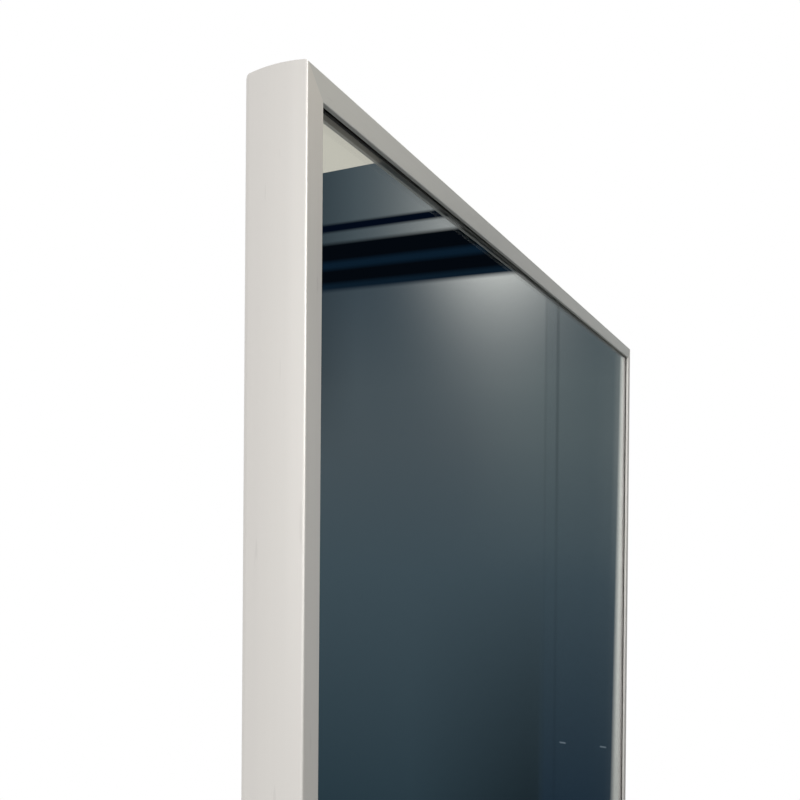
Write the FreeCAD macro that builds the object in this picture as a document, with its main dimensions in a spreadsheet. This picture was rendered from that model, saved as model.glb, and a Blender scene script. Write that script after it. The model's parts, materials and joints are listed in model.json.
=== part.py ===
"""Pull-out closet mirror: a slim aluminium-framed mirror on a full-extension slide and a swivel.

Frame of the part: X runs along the mirror's width, the glass faces -Y, the closet wall is the
plane Y = 0 behind the mirror and Z is up. The origin is the centre of the four wall screws.
The mirror is pulled out towards -X and then swivels about a vertical pin behind its middle.
Distances called depths are measured from the wall towards the glass, so a depth is -Y.
"""
import FreeCAD, Part
import math
import os
import Sketcher

Vector = FreeCAD.Vector
Rotation = FreeCAD.Rotation

# Every driving dimension, in millimetres.
SIZES = {
    # mirror
    "mirror_width": 356.0,
    "mirror_height": 1219.0,
    "frame_depth": 15.5,
    "face_width": 6.4,
    "outer_wall": 1.5,
    "lip_thickness": 1.05,
    "web_thickness": 1.0,
    "box_width": 9.5,
    "crown_radius": 64.0,
    "crown_peak": 7.6,
    "front_edge_radius": 0.5,
    "lip_edge_radius": 0.25,
    "rear_edge_radius": 2.0,
    "tape_thickness": 0.25,
    "tape_setback": 1.4,
    "glass_thickness": 3.0,
    "glass_clearance": 0.7,
    "glass_arris": 0.4,
    "board_thickness": 3.0,
    "key_clearance": 0.1,
    "key_leg": 30.0,
    # screws
    "screw_gap": 0.05,
    # cross bars behind the frame
    "bar_height": 30.0,
    "bar_thickness": 3.0,
    "bar_inset": 2.0,
    "bar_pitch": 150.0,
    "bar_corner": 3.0,
    "bar_screw_radius": 1.75,
    "bar_screw_tip": 2.5,
    "bar_screw_head_radius": 3.4,
    "bar_screw_head_height": 2.2,
    # swivel
    "plate_width": 110.0,
    "plate_height": 190.0,
    "plate_thickness": 3.0,
    "plate_corner": 10.0,
    "plate_screw_pitch": 84.0,
    "plate_screw_radius": 2.5,
    "plate_screw_tip": 1.5,
    "plate_screw_head_radius": 4.7,
    "plate_screw_head_height": 2.8,
    "plate_window_inner": 8.0,
    "plate_window_outer": 12.0,
    "plate_window_rim": 14.0,
    "plate_window_corner": 5.0,
    "barrel_radius": 8.0,
    "barrel_length": 110.0,
    "barrel_web": 9.0,
    "pin_radius": 5.0,
    "pin_running_gap": 0.05,
    "pin_head_radius": 8.5,
    "pin_head_height": 3.0,
    "pin_groove_depth": 1.0,
    "pin_tail": 2.0,
    "clip_thickness": 1.0,
    "clip_rim": 2.5,
    "pivot_standoff": 11.0,
    "pivot_ahead": 5.0,
    "axis_gap": 13.3,
    "ear_radius": 9.0,
    "washer_thickness": 1.0,
    "washer_gap": 0.1,
    "bush_wall": 1.5,
    "bush_flange": 1.5,
    "bush_step": 0.5,
    "carriage_thickness": 3.0,
    "carriage_overlap": 43.0,
    "carriage_bend": 1.5,
    "carriage_screw_radius": 2.0,
    "carriage_screw_pitch": 25.0,
    "carriage_screw_rise": 13.0,
    "carriage_screw_tip": 0.6,
    "carriage_screw_head_radius": 3.8,
    "carriage_screw_head_height": 2.2,
    "carriage_window_width": 18.0,
    "carriage_window_step": 4.0,
    "carriage_window_margin": 14.0,
    "carriage_window_corner": 5.0,
    # ball slide
    "slide_length": 350.0,
    "slide_height": 45.5,
    "slide_thickness": 12.7,
    "slide_sheet": 1.2,
    "ball_radius": 2.0,
    "ball_gap": 0.15,
    "race_depth": 0.25,
    "ball_pitch": 26.0,
    "cage_length": 130.0,
    "cage_sheet": 0.5,
    "cage_gap": 0.15,
    "cage_hole_gap": 0.1,
    "cage_rim": 8.0,
    "cage_margin": 6.0,
    "outer_reach": 9.9,
    "outer_lip": 3.9,
    "middle_reach": 11.8,
    "middle_lip": 4.0,
    "inner_back": 5.2,
    "inner_lip": 3.2,
    "inner_cage_place": 0.7,
    "bumper_length": 7.0,
    "clip_length": 8.0,
    "stop_gap": 0.5,
    "lever_length": 70.0,
    "lever_width": 14.0,
    "lever_thickness": 3.5,
    "lever_corner": 2.0,
    "stop_corner": 1.5,
    "spare_hole_radius": 2.3,
    "middle_window_length": 32.0,
    "middle_window_height": 14.0,
    "middle_window_corner": 4.0,
    # wall brackets
    "bracket_width": 32.0,
    "bracket_height": 120.0,
    "bracket_thickness": 2.0,
    "wall_pitch_along": 224.0,
    "wall_pitch_up": 96.0,
    "wall_hole_radius": 2.6,
}
BALLS_PER_ROW = 5

doc = FreeCAD.newDocument("PullOutMirror")
sheet = doc.addObject("Spreadsheet::Sheet", "Sizes")
for row, (alias, number) in enumerate(SIZES.items(), start=1):
    sheet.set(f"A{row}", alias)
    sheet.set(f"B{row}", str(number))
    sheet.setAlias(f"B{row}", alias)
doc.recompute()


class Size(float):
    """A length that also carries the spreadsheet expression it is worked out from."""

    def __new__(cls, number, text=None):
        size = super().__new__(cls, number)
        size.text = text or repr(float(number))
        return size

    def __add__(self, other):
        return Size(float(self) + float(other), f"({self.text} + {text_of(other)})")

    def __sub__(self, other):
        return Size(float(self) - float(other), f"({self.text} - {text_of(other)})")

    def __rsub__(self, other):
        return Size(float(other) - float(self), f"({text_of(other)} - {self.text})")

    def __mul__(self, other):
        return Size(float(self) * float(other), f"({self.text} * {text_of(other)})")

    def __truediv__(self, other):
        return Size(float(self) / float(other), f"({self.text} / {text_of(other)})")

    def __neg__(self):
        return Size(-float(self), f"(-1 * {self.text})")

    __radd__ = __add__
    __rmul__ = __mul__


def text_of(number):
    """The expression of a size, or of a plain number."""
    return number.text if isinstance(number, Size) else repr(float(number))


def size(alias):
    """The driving dimension of that name."""
    return Size(SIZES[alias], f"Sizes.{alias}")


# Places that several pieces share.
slide_half = size("slide_length") / 2
slide_top = size("slide_height") / 2
depth_slide = size("bracket_thickness")
depth_slide_front = depth_slide + size("slide_thickness")
depth_carriage = depth_slide_front + size("carriage_thickness")
depth_axis = depth_carriage + size("axis_gap")
depth_plate_back = depth_axis + size("pivot_standoff")
depth_bar_back = depth_plate_back + size("plate_thickness")
depth_frame_back = depth_bar_back + size("bar_thickness")
depth_frame_front = depth_frame_back + size("frame_depth")
axis_x = -(slide_half + size("pivot_ahead"))
half_width = size("mirror_width") / 2
half_height = size("mirror_height") / 2
web_front = (size("lip_thickness") + size("tape_thickness") + size("glass_thickness")
             + size("board_thickness"))
chamber_front = web_front + size("web_thickness")
chamber_back = size("frame_depth") - size("web_thickness")
chamber_side = size("box_width") - size("web_thickness")
chamber_middle = (size("outer_wall") + chamber_side) / 2
race_radius = size("ball_radius") + size("ball_gap")
middle_back = size("slide_sheet") + size("cage_gap") * 2 + size("cage_sheet")
pin_bore = size("pin_radius") + size("pin_running_gap")
bush_radius = pin_bore + size("bush_wall")
ear_inner = (size("barrel_length") / 2 + size("washer_gap") + size("washer_thickness")
             + size("bush_flange"))
ear_outer = ear_inner + size("carriage_thickness")

sub_parts = []


# ---------------------------------------------------------------- helpers

def bind(item, name, value):
    """Set a property, and tie it to the sheet where the value comes from there."""
    setattr(item, name, float(value))
    if isinstance(value, Size):
        item.setExpression(name, value.text)


def place(item, x=0.0, y=0.0, z=0.0, axis=(0, 0, 1), angle=0.0):
    """Put an object at a point, turned about an axis, with its point tied to the sheet."""
    item.Placement = FreeCAD.Placement(Vector(x, y, z), Rotation(Vector(*axis), angle))
    for name, value in (("x", x), ("y", y), ("z", z)):
        if isinstance(value, Size):
            item.setExpression(f".Placement.Base.{name}", value.text)
    return item


def new_body(label, kept=True):
    """An empty body; a kept one is written out under its label."""
    body = doc.addObject("PartDesign::Body", label)
    body.Label = label
    if kept:
        sub_parts.append(body)
    return body


def new_sketch(body, plane, offset=0.0):
    """A sketch on one of the body's own origin planes, moved along the plane's normal."""
    sketch = body.newObject("Sketcher::SketchObject", "Sketch")
    planes = {item.Role: item for item in body.Origin.OriginFeatures}
    sketch.AttachmentSupport = [(planes[plane], "")]
    sketch.MapMode = "FlatFace"
    sketch.AttachmentOffset = FreeCAD.Placement(Vector(0, 0, float(offset)), Rotation())
    if isinstance(offset, Size):
        sketch.setExpression(".AttachmentOffset.Base.z", offset.text)
    return sketch


def fix_point(sketch, edge, end, x, y):
    """Hold one end of a sketch edge at a point; None leaves that direction free."""
    for kind, axis, value in (("DistanceX", -2, x), ("DistanceY", -1, y)):
        if value is None:
            continue
        if abs(float(value)) < 1e-9:
            sketch.addConstraint(Sketcher.Constraint("PointOnObject", edge, end, axis))
            continue
        number = sketch.addConstraint(
            Sketcher.Constraint(kind, -1, 1, edge, end, float(value)))
        if isinstance(value, Size):
            sketch.setExpression(f"Constraints[{number}]", value.text)


def polygon(sketch, points):
    """A closed outline of straight edges through the points."""
    first = sketch.GeometryCount
    count = len(points)
    for index, (x, y) in enumerate(points):
        next_x, next_y = points[(index + 1) % count]
        sketch.addGeometry(Part.LineSegment(Vector(x, y, 0), Vector(next_x, next_y, 0)))
    for index in range(count):
        following = first + (index + 1) % count
        sketch.addConstraint(Sketcher.Constraint("Coincident", first + index, 2, following, 1))
    for index, (x, y) in enumerate(points):
        fix_point(sketch, first + index, 1, x, y)


def rectangle(sketch, left, bottom, right, top):
    polygon(sketch, [(left, bottom), (right, bottom), (right, top), (left, top)])


def cornered(sketch, left, bottom, right, top, corner):
    """A rectangle with its corners cut off at 45 degrees."""
    polygon(sketch, [
        (left + corner, bottom), (right - corner, bottom), (right, bottom + corner),
        (right, top - corner), (right - corner, top), (left + corner, top),
        (left, top - corner), (left, bottom + corner)])


def circle(sketch, x, y, radius):
    edge = sketch.addGeometry(Part.Circle(Vector(x, y, 0), Vector(0, 0, 1), float(radius)))
    fix_point(sketch, edge, 3, x, y)
    number = sketch.addConstraint(Sketcher.Constraint("Radius", edge, float(radius)))
    if isinstance(radius, Size):
        sketch.setExpression(f"Constraints[{number}]", radius.text)


def regular(sketch, x, y, radius, sides):
    """A regular polygon, its corners on a circle of that radius and its sides upright."""
    points = []
    for index in range(sides):
        angle = math.pi * (2 * index + 1) / sides
        points.append((x + radius * math.cos(angle), y + radius * math.sin(angle)))
    polygon(sketch, points)


def small_hole(sketch, x, y, radius):
    """A screw or ball hole. There are many, so it is a 12-sided outline round its circle."""
    regular(sketch, x, y, radius / math.cos(math.pi / 12), 12)


def pad(body, sketch, length, symmetric=False):
    """Extrude a sketch along its normal, or to both sides of its plane."""
    feature = body.newObject("PartDesign::Pad", "Pad")
    feature.Profile = sketch
    bind(feature, "Length", length)
    feature.SideType = "Symmetric" if symmetric else "One side"
    doc.recompute()
    return feature


def cut(body, sketch, length=None):
    """Pocket a sketch to both sides of its plane, by a length in all or right through."""
    before = body.Shape.Volume
    feature = body.newObject("PartDesign::Pocket", "Pocket")
    feature.Profile = sketch
    feature.SideType = "Symmetric"
    if length is None:
        feature.Type = "ThroughAll"
    else:
        bind(feature, "Length", length)
    doc.recompute()
    if not body.Shape.Volume < before - 1e-6:
        raise RuntimeError(f"{body.Label}: a pocket removes nothing")
    return feature


def round_edges(body, radius, along, wanted):
    """Fillet the body's edges that run along one axis and whose two ends satisfy the test."""
    base = body.Tip
    names = []
    for number, edge in enumerate(base.Shape.Edges, start=1):
        ends = [vertex.Point for vertex in edge.Vertexes]
        if len(ends) != 2 or not all(wanted(point) for point in ends):
            continue
        run = ends[1] - ends[0]
        if abs(getattr(run, along)) > 0.99 * run.Length:
            names.append(f"Edge{number}")
    if not names:
        raise RuntimeError(f"{body.Label}: no edge to round")
    feature = body.newObject("PartDesign::Fillet", "Fillet")
    feature.Base = (base, names)
    bind(feature, "Radius", radius)
    doc.recompute()
    if "Invalid" in feature.State or feature.Shape.isNull():
        raise RuntimeError(f"{body.Label}: edges not rounded")
    return feature


def near(value, target, reach=0.01):
    return abs(value - float(target)) < reach


def revolve(body, points):
    """Turn a half outline, given as (radius, height) points, about the body's Z axis."""
    sketch = new_sketch(body, "XZ_Plane")
    polygon(sketch, points)
    feature = body.newObject("PartDesign::Revolution", "Revolution")
    feature.Profile = sketch
    feature.ReferenceAxis = (sketch, ["V_Axis"])
    feature.Angle = 360.0
    doc.recompute()
    return feature


def group(label, source, places):
    """One node of equal, separate solids: linked copies of a master at the given places."""
    copies = []
    for index, (x, y, z, axis, angle) in enumerate(places):
        copy = doc.addObject("App::Link", f"{label}_copy_{index}")
        copy.LinkedObject = source
        copies.append(place(copy, x, y, z, axis, angle))
    whole = doc.addObject("Part::Compound", label)
    whole.Label = label
    whole.Links = copies
    sub_parts.append(whole)
    return whole


# ---------------------------------------------------------------- frame

def mitre(body, half_length, reach):
    """Cut both ends of a rail at 45 degrees: at x from the outer face it is x shorter."""
    spare = 1.0
    sketch = new_sketch(body, "XZ_Plane")
    for end in (1, -1):
        outer = (half_length + spare) * end
        inner = (half_length - reach - spare) * end
        polygon(sketch, [(-spare, outer), (reach + spare, outer), (reach + spare, inner)])
    cut(body, sketch)


def frame_rail(label, half_length, screw_places):
    """One mitred length of the extrusion: local x is inward, y is back, z is along."""
    body = new_body(label)
    sketch = new_sketch(body, "XY_Plane")
    crown = size("crown_radius")
    peak = size("crown_peak")
    depth = size("frame_depth")
    points = [
        (Size(0.0), Size(0.0)),
        (size("face_width"), Size(0.0)),
        (size("face_width"), size("lip_thickness")),
        (size("outer_wall"), size("lip_thickness")),
        (size("outer_wall"), web_front),
        (size("box_width"), web_front),
        (size("box_width"), depth),
        (Size(0.0), depth),
    ]
    for (x, y), (next_x, next_y) in zip(points[:-1], points[1:]):
        sketch.addGeometry(Part.LineSegment(Vector(x, y, 0), Vector(next_x, next_y, 0)))
    last = len(points) - 2
    front_drop = crown - math.sqrt(crown * crown - peak * peak)
    rear_drop = crown - math.sqrt(crown * crown - (depth - peak) ** 2)
    sketch.addGeometry(Part.Arc(Vector(rear_drop, depth, 0), Vector(0, peak, 0),
                                Vector(front_drop, 0, 0)))
    crown_edge = last + 1
    for index in range(last):
        sketch.addConstraint(Sketcher.Constraint("Coincident", index, 2, index + 1, 1))
    ends = {}
    for end in (1, 2):
        ends[end] = sketch.getPoint(crown_edge, end).y
    rear_end = max(ends, key=ends.get)
    sketch.addConstraint(Sketcher.Constraint("Coincident", last, 2, crown_edge, rear_end))
    sketch.addConstraint(Sketcher.Constraint("Coincident", crown_edge, 3 - rear_end, 0, 1))
    fix_point(sketch, 0, 1, None, points[0][1])
    for index in range(1, len(points) - 1):
        fix_point(sketch, index, 1, *points[index])
    fix_point(sketch, last, 2, None, depth)
    fix_point(sketch, crown_edge, 3, crown, peak)
    number = sketch.addConstraint(Sketcher.Constraint("Radius", crown_edge, float(crown)))
    sketch.setExpression(f"Constraints[{number}]", crown.text)
    rectangle(sketch, size("outer_wall"), chamber_front, chamber_side, chamber_back)
    pad(body, sketch, half_length * 2, symmetric=True)

    def outer_edge(level):
        return lambda point: point.x < 1.0 and near(point.y, level)

    round_edges(body, size("rear_edge_radius"), "z", outer_edge(depth))
    round_edges(body, size("front_edge_radius"), "z", outer_edge(0.0))
    round_edges(body, size("lip_edge_radius"), "z",
                lambda point: near(point.x, size("face_width")) and near(point.y, 0.0))
    if screw_places:
        holes = new_sketch(body, "XZ_Plane", -depth)
        for along in screw_places:
            small_hole(holes, chamber_middle, along, size("bar_screw_radius"))
        cut(body, holes, size("web_thickness") * 2 + 0.2)
    mitre(body, half_length, size("box_width"))
    return body


def build_frame():
    bar_screws = [size("bar_pitch") / 2 * side for side in (1, -1)]
    front = -depth_frame_front
    about_y = (0, 1, 0)
    for label, half_length, screws, x, z, angle in (
            ("frame_left_stile", half_height, bar_screws, axis_x - half_width, Size(0.0), 0),
            ("frame_right_stile", half_height, bar_screws, axis_x + half_width, Size(0.0), 180),
            ("frame_top_rail", half_width, [], axis_x, half_height, 90),
            ("frame_bottom_rail", half_width, [], axis_x, -half_height, -90)):
        rail = frame_rail(label, half_length, screws)
        place(rail, x, front, z, about_y, angle)


def corner_places(inset):
    """The frame's four corners, each with the turn that carries the top left one there."""
    depth = -depth_frame_back
    left = axis_x - half_width + inset
    right = axis_x + half_width - inset
    top = half_height - inset
    about_y = (0, 1, 0)
    return [(left, depth, top, about_y, 0), (right, depth, top, about_y, 90),
            (right, depth, -top, about_y, 180), (left, depth, -top, about_y, 270)]


def build_corner_keys():
    """Cast L-shaped keys pressed into the rails' rear chambers."""
    gap = size("key_clearance")
    leg = size("key_leg")
    across = chamber_side - size("outer_wall") - gap * 2
    thick = chamber_back - chamber_front - gap * 2
    key = new_body("corner_key_master", kept=False)
    sketch = new_sketch(key, "XZ_Plane", size("web_thickness") + gap)
    nose = across / 4
    polygon(sketch, [
        (0.0, 0.0), (0.0, nose - leg), (nose, -leg), (across - nose, -leg),
        (across, nose - leg), (across, -across), (leg - nose, -across), (leg, nose - across),
        (leg, -nose), (leg - nose, 0.0)])
    pad(key, sketch, thick)
    group("corner_keys", key, corner_places(size("outer_wall") + gap))


def screw_master(label, name, grip):
    """A screw along Z, its head above Z = 0. It is repeated often, so it has flat sides.
    name is the start of its sizes' names, and grip is the thickness it holds together."""
    master = new_body(label, kept=False)
    shank_length = grip + size(f"{name}_tip")
    shank = new_sketch(master, "XY_Plane", -shank_length)
    regular(shank, 0.0, 0.0, size(f"{name}_radius") - size("screw_gap"), 8)
    pad(master, shank, shank_length)
    head = new_sketch(master, "XY_Plane")
    regular(head, 0.0, 0.0, size(f"{name}_head_radius"), 12)
    pad(master, head, size(f"{name}_head_height"))
    return master


def build_glazing():
    """Four strips of glazing tape behind the lip, then the mirror glass, then its board."""
    front = -depth_frame_front
    strips = []
    about_y = (0, 1, 0)
    for label, half_length, x, z, angle in (
            ("tape_left", half_height, axis_x - half_width, Size(0.0), 0),
            ("tape_right", half_height, axis_x + half_width, Size(0.0), 180),
            ("tape_top", half_width, axis_x, half_height, 90),
            ("tape_bottom", half_width, axis_x, -half_height, -90)):
        strip = new_body(label, kept=False)
        sketch = new_sketch(strip, "XY_Plane")
        inner = size("face_width") - size("tape_setback")
        rectangle(sketch, size("outer_wall"), size("lip_thickness"), inner,
                  size("lip_thickness") + size("tape_thickness"))
        pad(strip, sketch, half_length * 2, symmetric=True)
        mitre(strip, half_length, inner)
        strips.append(place(strip, x, front, z, about_y, angle))
    tape = doc.addObject("Part::Compound", "glazing_tape")
    tape.Label = "glazing_tape"
    tape.Links = strips
    sub_parts.append(tape)

    inset = size("outer_wall") + size("glass_clearance")
    back_of_glass = depth_frame_front - size("lip_thickness") - size("tape_thickness")
    for label, back, thickness in (
            ("mirror_glass", back_of_glass - size("glass_thickness"), size("glass_thickness")),
            ("backing_board", back_of_glass - size("glass_thickness") - size("board_thickness"),
             size("board_thickness"))):
        sheet_body = new_body(label)
        sketch = new_sketch(sheet_body, "XZ_Plane", back)
        rectangle(sketch, axis_x - half_width + inset, -(half_height - inset),
                  axis_x + half_width - inset, half_height - inset)
        pad(sheet_body, sketch, thickness)
        if label == "mirror_glass":
            face = -(back + thickness)
            base = sheet_body.Tip
            names = [f"Edge{number}" for number, edge in enumerate(base.Shape.Edges, start=1)
                     if all(near(vertex.Point.y, face) for vertex in edge.Vertexes)]
            arris = sheet_body.newObject("PartDesign::Chamfer", "Arris")
            arris.Base = (base, names)
            bind(arris, "Size", size("glass_arris"))
            doc.recompute()


# ---------------------------------------------------------------- swivel, mirror side

def build_cross_bars():
    """Two flat steel bars across the frame's back, and their screws into the stiles."""
    half_length = half_width - size("bar_inset")
    hole_x = half_width - chamber_middle
    half_bar = size("bar_height") / 2
    corner = size("bar_corner")
    places = []
    for label, side in (("cross_bar_upper", 1), ("cross_bar_lower", -1)):
        bar = new_body(label)
        middle = size("bar_pitch") / 2 * side
        sketch = new_sketch(bar, "XZ_Plane", depth_bar_back)
        cornered(sketch, axis_x - half_length, middle - half_bar,
                 axis_x + half_length, middle + half_bar, corner)
        pad(bar, sketch, size("bar_thickness"))
        holes = new_sketch(bar, "XZ_Plane", depth_frame_back)
        for x_side in (1, -1):
            small_hole(holes, axis_x + hole_x * x_side, middle, size("bar_screw_radius"))
            small_hole(holes, axis_x + size("plate_screw_pitch") / 2 * x_side, middle,
                       size("plate_screw_radius"))
            places.append((axis_x + hole_x * x_side, -depth_bar_back, middle, (1, 0, 0), -90))
        cut(bar, holes)
    screw = screw_master("bar_screw_master", "bar_screw",
                         size("bar_thickness") + size("web_thickness"))
    group("cross_bar_screws", screw, places)


def build_pivot_plate():
    """The plate on the mirror's back with the long pivot barrel standing off it."""
    half_plate = size("plate_width") / 2
    half_tall = size("plate_height") / 2
    plate = new_body("pivot_plate")
    sketch = new_sketch(plate, "XZ_Plane", depth_plate_back)
    rectangle(sketch, axis_x - half_plate, -half_tall, axis_x + half_plate, half_tall)
    pad(plate, sketch, size("plate_thickness"))
    round_edges(plate, size("plate_corner"), "y",
                lambda point: near(abs(point.x - float(axis_x)), half_plate)
                and near(abs(point.z), half_tall))
    windows = new_sketch(plate, "XZ_Plane", depth_plate_back)
    window_near = size("barrel_radius") + size("plate_window_inner")
    window_far = half_plate - size("plate_window_outer")
    window_top = (size("bar_pitch") - size("bar_height")) / 2 - size("plate_window_rim")
    for left, right in ((-window_far, -window_near), (window_near, window_far)):
        cornered(windows, axis_x + left, -window_top, axis_x + right, window_top,
                 size("plate_window_corner"))
    cut(plate, windows)
    web = new_sketch(plate, "XY_Plane")
    rectangle(web, axis_x - size("barrel_web") / 2, -depth_plate_back - 0.5,
              axis_x + size("barrel_web") / 2, -depth_axis)
    pad(plate, web, size("barrel_length"), symmetric=True)
    barrel = new_sketch(plate, "XY_Plane")
    circle(barrel, axis_x, -depth_axis, size("barrel_radius"))
    pad(plate, barrel, size("barrel_length"), symmetric=True)
    bore = new_sketch(plate, "XY_Plane")
    circle(bore, axis_x, -depth_axis, pin_bore)
    cut(plate, bore)
    holes = new_sketch(plate, "XZ_Plane", depth_plate_back)
    places = []
    for x_side in (1, -1):
        for z_side in (1, -1):
            x = axis_x + size("plate_screw_pitch") / 2 * x_side
            z = size("bar_pitch") / 2 * z_side
            small_hole(holes, x, z, size("plate_screw_radius"))
            places.append((x, -depth_plate_back, z, (1, 0, 0), -90))
    cut(plate, holes, size("plate_thickness") * 2 + 1.0)
    screw = screw_master("plate_screw_master", "plate_screw",
                         size("plate_thickness") + size("bar_thickness"))
    group("pivot_plate_screws", screw, places)


# ---------------------------------------------------------------- swivel, slide side

def build_carriage():
    """The bent bracket on the slide's moving member, with its bushes, pin, clip and washers."""
    front_x = axis_x - size("ear_radius")
    back_x = -slide_half + size("carriage_overlap")
    nose = depth_axis + size("ear_radius")
    bracket = new_body("carriage_bracket")
    profile = new_sketch(bracket, "YZ_Plane", front_x)
    polygon(profile, [
        (-depth_slide_front, -ear_outer), (-depth_slide_front, ear_outer),
        (-nose, ear_outer), (-nose, ear_inner),
        (-depth_carriage, ear_inner), (-depth_carriage, -ear_inner),
        (-nose, -ear_inner), (-nose, -ear_outer)])
    pad(bracket, profile, back_x - front_x)
    inner_bend = size("carriage_bend")
    round_edges(bracket, inner_bend + size("carriage_thickness"), "x",
                lambda point: near(point.y, -depth_slide_front) and near(abs(point.z), ear_outer))
    round_edges(bracket, inner_bend, "x",
                lambda point: near(point.y, -depth_carriage) and near(abs(point.z), ear_inner))
    ears = new_sketch(bracket, "XY_Plane")
    flank = axis_x + size("ear_radius")
    spare = 1.0
    polygon(ears, [(flank, -(nose + spare)), (back_x + spare, -(nose + spare)),
                   (back_x + spare, -(depth_carriage + inner_bend + 1.0)), (flank, -depth_axis)])
    cut(bracket, ears)
    round_edges(bracket, size("ear_radius") - 0.05, "z",
                lambda point: near(point.y, -nose))
    holes = new_sketch(bracket, "XY_Plane")
    circle(holes, axis_x, -depth_axis, bush_radius)
    cut(bracket, holes)
    faces = new_sketch(bracket, "XZ_Plane", depth_carriage)
    screw_places = []
    overlap_middle = -slide_half + size("carriage_overlap") / 2
    for x_side in (1, -1):
        for z_side in (1, -1):
            x = overlap_middle + size("carriage_screw_pitch") / 2 * x_side
            z = size("carriage_screw_rise") / 2 * z_side
            small_hole(faces, x, z, size("carriage_screw_radius"))
            screw_places.append((x, -depth_carriage, z, (1, 0, 0), 90))
    window_low = slide_top - size("carriage_window_step")
    window_high = ear_inner - size("carriage_window_margin")
    window_half = size("carriage_window_width") / 2
    for low, high in ((window_low, window_high), (-window_high, -window_low)):
        cornered(faces, overlap_middle - window_half, low, overlap_middle + window_half, high,
                 size("carriage_window_corner"))
    cut(bracket, faces, size("carriage_thickness") * 2 + 1.0)
    screw = screw_master("carriage_screw_master", "carriage_screw",
                         size("carriage_thickness") + size("slide_sheet"))
    group("carriage_screws", screw, screw_places)

    flange_radius = size("ear_radius") - size("bush_step")
    bush = new_body("bush_master", kept=False)
    flange = size("bush_flange")
    sleeve = flange + size("carriage_thickness")
    revolve(bush, [(pin_bore, 0.0), (flange_radius, 0.0), (flange_radius, flange),
                   (bush_radius, flange), (bush_radius, sleeve), (pin_bore, sleeve)])
    group("pivot_bushes", bush, [
        (axis_x, -depth_axis, ear_inner - flange, (1, 0, 0), 0),
        (axis_x, -depth_axis, flange - ear_inner, (1, 0, 0), 180)])

    washer = new_body("washer_master", kept=False)
    washer_bore = pin_bore + size("washer_gap")
    washer_radius = flange_radius - size("bush_step")
    revolve(washer, [(washer_bore, 0.0), (washer_radius, 0.0),
                     (washer_radius, size("washer_thickness")),
                     (washer_bore, size("washer_thickness"))])
    washer_z = size("barrel_length") / 2 + size("washer_gap")
    group("friction_washers", washer, [
        (axis_x, -depth_axis, washer_z, (1, 0, 0), 0),
        (axis_x, -depth_axis, -washer_z, (1, 0, 0), 180)])

    radius = size("pin_radius")
    groove = radius - size("pin_groove_depth")
    clip = size("clip_thickness")
    tail = size("pin_tail")
    head = size("pin_head_radius")
    head_top = ear_outer + size("pin_head_height")
    pin = new_body("pivot_pin")
    revolve(pin, [
        (0.0, -(ear_outer + clip + tail)), (radius, -(ear_outer + clip + tail)),
        (radius, -(ear_outer + clip)), (groove, -(ear_outer + clip)), (groove, -ear_outer),
        (radius, -ear_outer), (radius, ear_outer), (head, ear_outer), (head, head_top),
        (0.0, head_top)])
    place(pin, axis_x, -depth_axis, Size(0.0))

    ring = new_body("retaining_clip")
    sketch = new_sketch(ring, "XY_Plane", -(ear_outer + clip))
    rim = radius + size("clip_rim")
    circle(sketch, 0.0, 0.0, rim)
    circle(sketch, 0.0, 0.0, groove + size("pin_running_gap"))
    pad(ring, sketch, clip)
    mouth = new_sketch(ring, "XY_Plane", -(ear_outer + clip))
    half_mouth = groove * 0.8
    rectangle(mouth, -half_mouth, 0.0, half_mouth, rim + clip)
    cut(ring, mouth)
    place(ring, axis_x, -depth_axis, Size(0.0))


# ---------------------------------------------------------------- ball slide

def channel(label, back, reach, top, lip, front_x, length, web_at_front=False):
    """A lipped C of sheet steel along X. Its web is at the back, or at the front for the
    innermost one, and its lips turn towards the middle at the other side. back and reach are
    measured from the slide's wall side. Where the lips are at the front, the bends beside
    them hold a row of balls and have the race's radius."""
    sheet_thickness = size("slide_sheet")
    near_side = depth_slide + back
    far_side = depth_slide + reach
    if web_at_front:
        web, rim = far_side, near_side
        inward = -1
    else:
        web, rim = near_side, far_side
        inward = 1
    web_bend = sheet_thickness * 0.8
    rim_bend = web_bend if web_at_front else race_radius
    web_inner = web + sheet_thickness * inward
    rim_inner = rim - sheet_thickness * inward
    inner_top = top - sheet_thickness
    lip_end = top - lip
    member = new_body(label)
    sketch = new_sketch(member, "YZ_Plane", front_x)
    upper = [(-web, top), (-rim, top), (-rim, lip_end), (-rim_inner, lip_end),
             (-rim_inner, inner_top), (-web_inner, inner_top)]
    lower = [(x, -z) for x, z in reversed(upper)]
    polygon(sketch, upper + lower)
    pad(member, sketch, length)
    round_edges(member, rim_bend, "x",
                lambda point: near(point.y, -rim_inner) and near(abs(point.z), inner_top))
    round_edges(member, rim_bend + sheet_thickness, "x",
                lambda point: near(point.y, -rim) and near(abs(point.z), top))
    round_edges(member, web_bend, "x",
                lambda point: near(point.y, -web_inner) and near(abs(point.z), inner_top))
    round_edges(member, web_bend + sheet_thickness, "x",
                lambda point: near(point.y, -web) and near(abs(point.z), top))
    return member


def cut_races(member, depth, height, front_x):
    """Roll the ball tracks into a member's outer faces."""
    sketch = new_sketch(member, "YZ_Plane", front_x)
    for side in (1, -1):
        circle(sketch, -depth, height * side, race_radius)
    cut(member, sketch)


def web_holes(member, depth, places, radius, reach=2.0):
    """Screw holes through a member's web."""
    sketch = new_sketch(member, "XZ_Plane", depth)
    for x, z in places:
        small_hole(sketch, x, z, radius)
    cut(member, sketch, reach * 2)


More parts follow.
